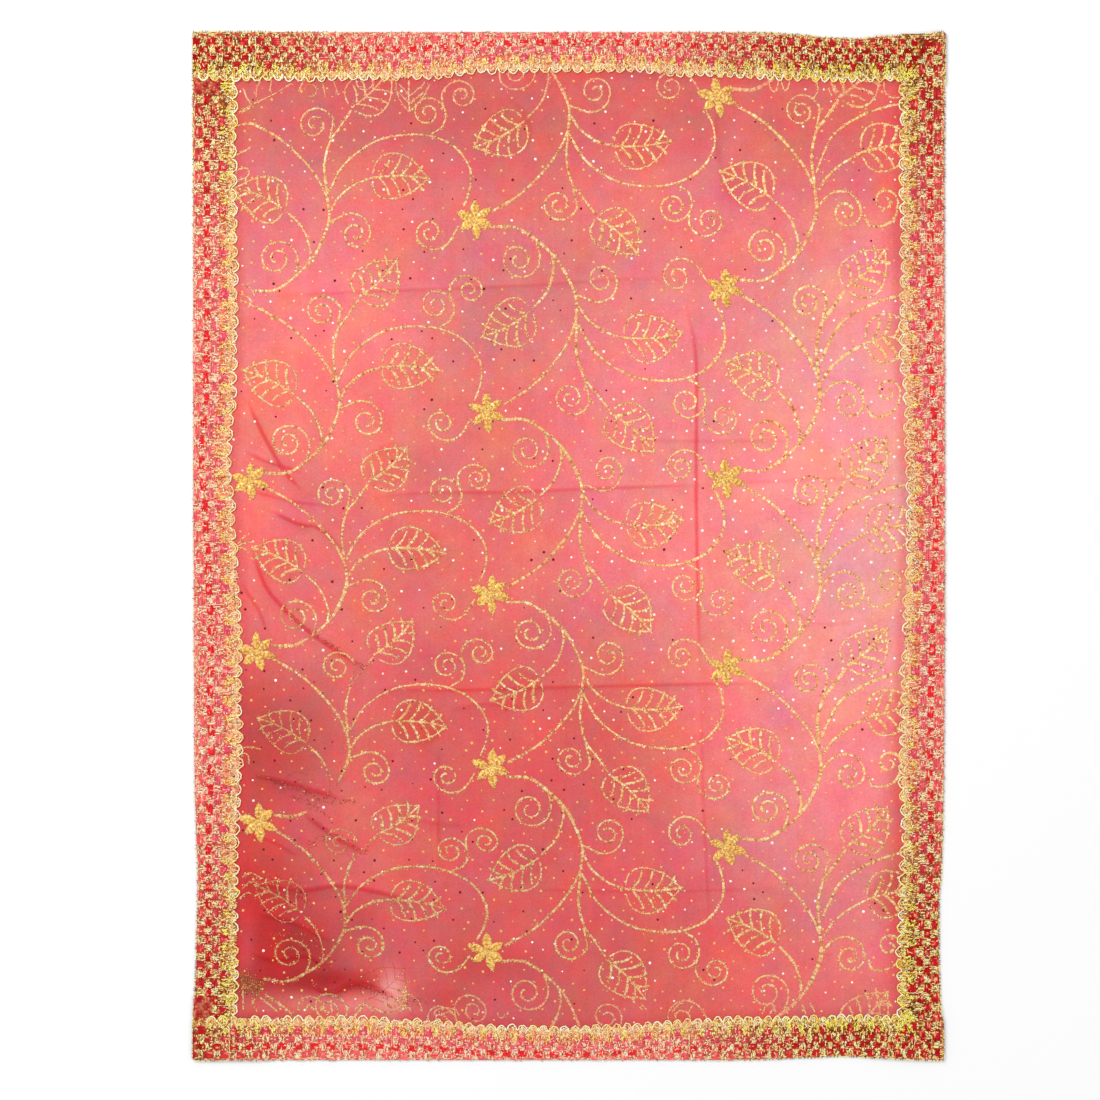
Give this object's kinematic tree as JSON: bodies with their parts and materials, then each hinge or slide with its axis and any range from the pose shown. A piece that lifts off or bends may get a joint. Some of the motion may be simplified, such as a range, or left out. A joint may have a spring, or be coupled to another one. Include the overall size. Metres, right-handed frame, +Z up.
{
  "type": "dupatta stole",
  "caption": "Sheer rectangular stole laid flat, a net panel with soft pressed folds and wrinkles and a wide scalloped woven lace border sewn round its edge",
  "frame": {"origin": "bottom centre of the bounding box: the middle of the outline, on the surface that the stole lies on", "axes": "+X towards the right side lace, +Y towards the top lace along the stole's length, +Z up out of the cloth"},
  "size_m": [0.752, 1.028, 0.0063],
  "materials": {
    "net": "sheer, matt with glitter print",
    "lace": "woven, soft metallic sheen"
  },
  "bodies": {
    "root": {"net_panel": "net", "lace_left": "lace", "lace_right": "lace", "lace_top": "lace", "lace_bottom": "lace"}
  },
  "joints": []
}
